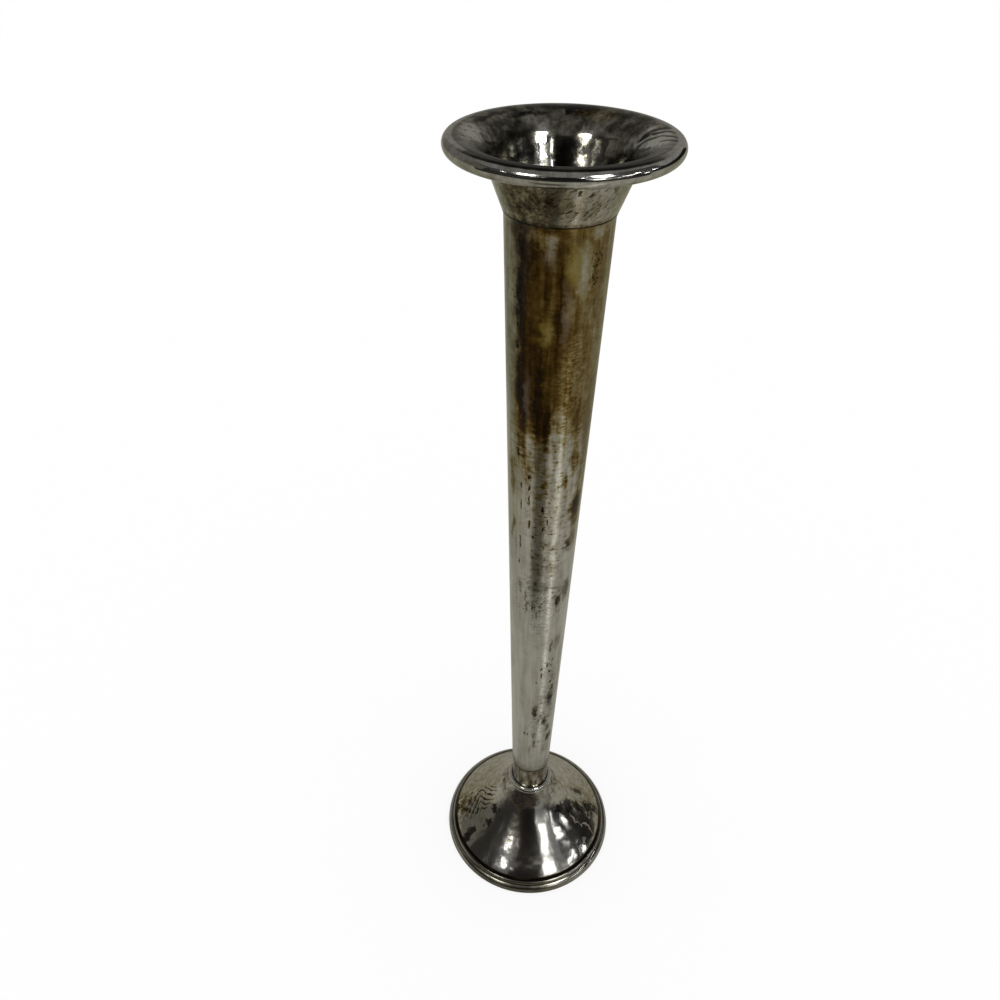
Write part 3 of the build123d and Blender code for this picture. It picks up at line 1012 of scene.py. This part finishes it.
# Each lamp: degrees round, degrees up, width and height in degrees, and strength.
LAMPS = {
    "left_lamp": (-30, 25, 7, 5.5, 4.0),
    "left_glow": (-30, 20, 18, 20, 0.14),
    "left_spark": (-17, 25, 2.5, 2, 4.0),
    "far_left_lamp": (-53, 18, 2.5, 10, 0.14),
    "right_glow": (38, 16, 30, 26, 0.2),
    "right_dash_near": (24.5, 13.5, 4, 1, 6.0),
    "right_dash_far": (41, 12, 8, 1.2, 5.0),
    "side_lamp": (62, 16, 12, 2.6, 8.0),
    "side_dot_near": (52, 9, 3, 1.6, 6.0),
    "side_dot_far": (60.5, 9, 3, 1.6, 6.0),
    "side_spark": (80.5, 8, 5, 2.4, 8.0),
}
# The soft box to the right, which stands nearer than the rest, and its halo: the same.
NEAR_LAMPS = {
    "right_lamp": (33, 23.2, 10, 11, 4.0),
    "right_halo": (34, 21.7, 16, 18, 0.4),
}
# Lamps close over the rim, which only the mouth shows: the same.
RIM_LAMPS = {
    "rim_right_lamp": (39.5, 33, 15, 17, 16.0),
    "rim_left_lamp": (-34.5, 31, 14, 12, 16.0),
    "rim_streak": (19.3, 24.6, 2.2, 3, 20.0),
    "rim_left_streak": (-36, 23.4, 2.4, 1.8, 14.0),
    "rim_right_streak": (39, 22.8, 5, 2, 14.0),
    "rim_side_lamp": (72, 19.0, 7, 1.6, 16.0),
    "rim_side_dot": (90, 14.2, 4, 1.4, 20.0),
    "rim_left_dot": (-56, 21.6, 3, 1.6, 14.0),
    "rim_right_glow": (66, 30, 66, 34, 0.07),
    "rim_left_glow": (-48, 24, 40, 22, 0.06),
}
# Each wall: the same, then its colour. They are large, dim and behind the lamps, as are the glows.
WALLS = {
    "left_front_wall": (-57, 16, 34, 30, 0.03, (1.0, 0.95, 0.85)),
    "left_side_wall": (-88, 14, 26, 34, 0.13, (1.0, 0.95, 0.8)),
    "left_wall": (-130, 22, 60, 50, 0.17, (1.0, 0.98, 0.9)),
    "right_flag": (108, 3, 34, 18, 0.012, (1.0, 0.9, 0.8)),
    "right_wall": (135, 34, 60, 34, 0.3, (1.0, 0.99, 0.95)),
    "back_wall": (180, 20, 60, 44, 0.26, (1.0, 0.97, 0.86)),
}
# Each card lies on the floor: degrees round, width in degrees, nearest and furthest, and colour.
CARDS = {
    "half_shade_card": (-15, 42, 0.14, 0.36, (0.25, 0.24, 0.2)),
    "shade_card": (-15, 28, 0.15, 0.35, (0.12, 0.115, 0.095)),
    "pale_card": (40, 26, 0.05, 0.5, (0.5, 0.485, 0.43)),
    "bright_card": (40, 14, 0.06, 0.4, (0.66, 0.645, 0.56)),
    "brightest_card": (40, 6, 0.065, 0.36, (0.84, 0.82, 0.73)),
    "far_card": (0, 172, 0.86, 3.9, (0.022, 0.02, 0.018)),
    "left_card": (-118, 60, 0.2, 3.0, (0.3, 0.295, 0.22)),
    "right_card": (150, 80, 0.2, 3.0, (0.31, 0.3, 0.22)),
}


def stage_panel(name, corners, colour, strength):
    """One flat face through its corners, glowing evenly, that only shows in the silver."""
    mesh = bpy.data.meshes.new(name)
    mesh.from_pydata(np.asarray(corners, float).tolist(), [], [tuple(range(len(corners)))])
    panel = bpy.data.objects.new(name, mesh)
    scene.collection.objects.link(panel)
    glow = Finish(
        name, base_color=(0, 0, 0, 1), roughness=1, emission_color=(*colour, 1), emission_strength=strength
    )
    mesh.materials.append(glow.material)
    panel.visible_camera = False
    panel.visible_diffuse = False
    panel.visible_shadow = False


def soft_box(name, turn, lift, wide, tall, strength, colour=(1, 1, 1), distance=LAMP_DISTANCE, level=0.1):
    """A panel facing the vase's axis at a level from turn degrees round it and lift degrees above, that
    is wide by tall degrees as seen from there. Its corners are tangents of half those angles."""
    a, e = math.radians(turn), math.radians(lift)
    away = np.array([math.sin(a) * math.cos(e), -math.cos(a) * math.cos(e), math.sin(e)])
    across = np.array([math.cos(a), math.sin(a), 0])
    up = np.cross(across, away)
    half = distance * math.tan(math.radians(wide / 2)), distance * math.tan(math.radians(tall / 2))
    middle = away * distance + np.array([0, 0, level])
    ends = [(-1, -1), (1, -1), (1, 1), (-1, 1)]
    corners = [middle + across * half[0] * i + up * half[1] * j for i, j in ends]
    stage_panel(name, corners, colour, strength)


def floor_card(name, turn, wide, near, far, colour, level):
    """A part of a ring on the floor, wide degrees of it round turn, glowing in its own colour."""
    outer = arc((0, 0), far, turn - 90 - wide / 2, wide, 24)
    inner = arc((0, 0), near, turn - 90 + wide / 2, -wide, 24)
    corners = np.vstack([outer, inner])
    stage_panel(name, np.c_[corners, np.full(len(corners), level)], colour, 1.0)


for name, lamp in LAMPS.items():
    soft_box(name, *lamp)
for name, lamp in NEAR_LAMPS.items():
    soft_box(name, *lamp, distance=NEAR_DISTANCE + GLOW_SETBACK * (lamp[4] < 1), level=0.02)
for name, lamp in RIM_LAMPS.items():
    soft_box(name, *lamp, distance=RIM_DISTANCE + GLOW_SETBACK * (lamp[4] < 1), level=0.3)
for name, wall in WALLS.items():
    soft_box(name, *wall, distance=WALL_DISTANCE)
for place, (name, card) in enumerate(CARDS.items()):
    floor_card(name, *card, 0.0003 + place * 0.0001)
square = np.array([(-1, -1, 0), (1, -1, 0), (1, 1, 0), (-1, 1, 0)])
ceiling = square[::-1] * CEILING_REACH + [0, 0, CEILING_HEIGHT]
stage_panel("ceiling", ceiling, (1.0, 0.98, 0.94), 0.22)

ground_mesh = bpy.data.meshes.new("ground")
ground_mesh.from_pydata((square * FLOOR_REACH).tolist(), [], [(0, 1, 2, 3)])
ground = bpy.data.objects.new("ground", ground_mesh)
scene.collection.objects.link(ground)
pale = Finish("pale_ground", base_color=(0.4, 0.385, 0.325, 1), roughness=1)
white = pale.node("ShaderNodeEmission", None, {"Color": (1, 1, 1), "Strength": 1.0})
paper = pale.node("ShaderNodeBsdfDiffuse", None, {"Color": (0.99, 0.99, 0.99)})
seen = pale.node("ShaderNodeMixShader", None, {0: 0.3, 1: white, 2: paper})
camera_ray = pale.node("ShaderNodeLightPath", output="Is Camera Ray")
table = Field(pale, pale.shader.outputs[0])
either = pale.node("ShaderNodeMixShader", None, {0: camera_ray, 1: table, 2: seen})
pale.tree.links.new(either.socket, pale.tree.nodes["Material Output"].inputs["Surface"])
ground_mesh.materials.append(pale.material)

world = bpy.data.worlds.new("room")
scene.world = world
room = Nodes(world)
bright = Field(room, room.tree.nodes["Background"].outputs[0])
room.tree.nodes["Background"].inputs["Color"].default_value = (1, 1, 1, 1)
dim = room.node("ShaderNodeBackground", None, {"Color": (1.0, 0.96, 0.88), "Strength": 0.012})
glossy_ray = room.node("ShaderNodeLightPath", output="Is Glossy Ray")
either = room.node("ShaderNodeMixShader", None, {0: glossy_ray, 1: bright, 2: dim})
room.tree.links.new(either.socket, room.tree.nodes["World Output"].inputs["Surface"])

scene.view_settings.view_transform = "Standard"


# Camera: where the photograph was taken from, close to the rim and looking down at the foot.
LENS = 30.119
PITCH, YAW, ROLL = 0.676040, 0.067967, 0.0112173  # radians
CAMERA_AT = (0, -0.21499, 0.36237)
camera = bpy.data.objects.new("camera", bpy.data.cameras.new("camera"))
scene.collection.objects.link(camera)
camera.data.lens = LENS
camera.data.sensor_width = 36.0
camera.data.clip_start = 0.01
camera.matrix_world = (
    Matrix.Translation(CAMERA_AT)
    @ Matrix.Rotation(YAW, 4, "Z")
    @ Matrix.Rotation(math.pi / 2 - PITCH, 4, "X")
    @ Matrix.Rotation(ROLL, 4, "Z")
)
scene.camera = camera
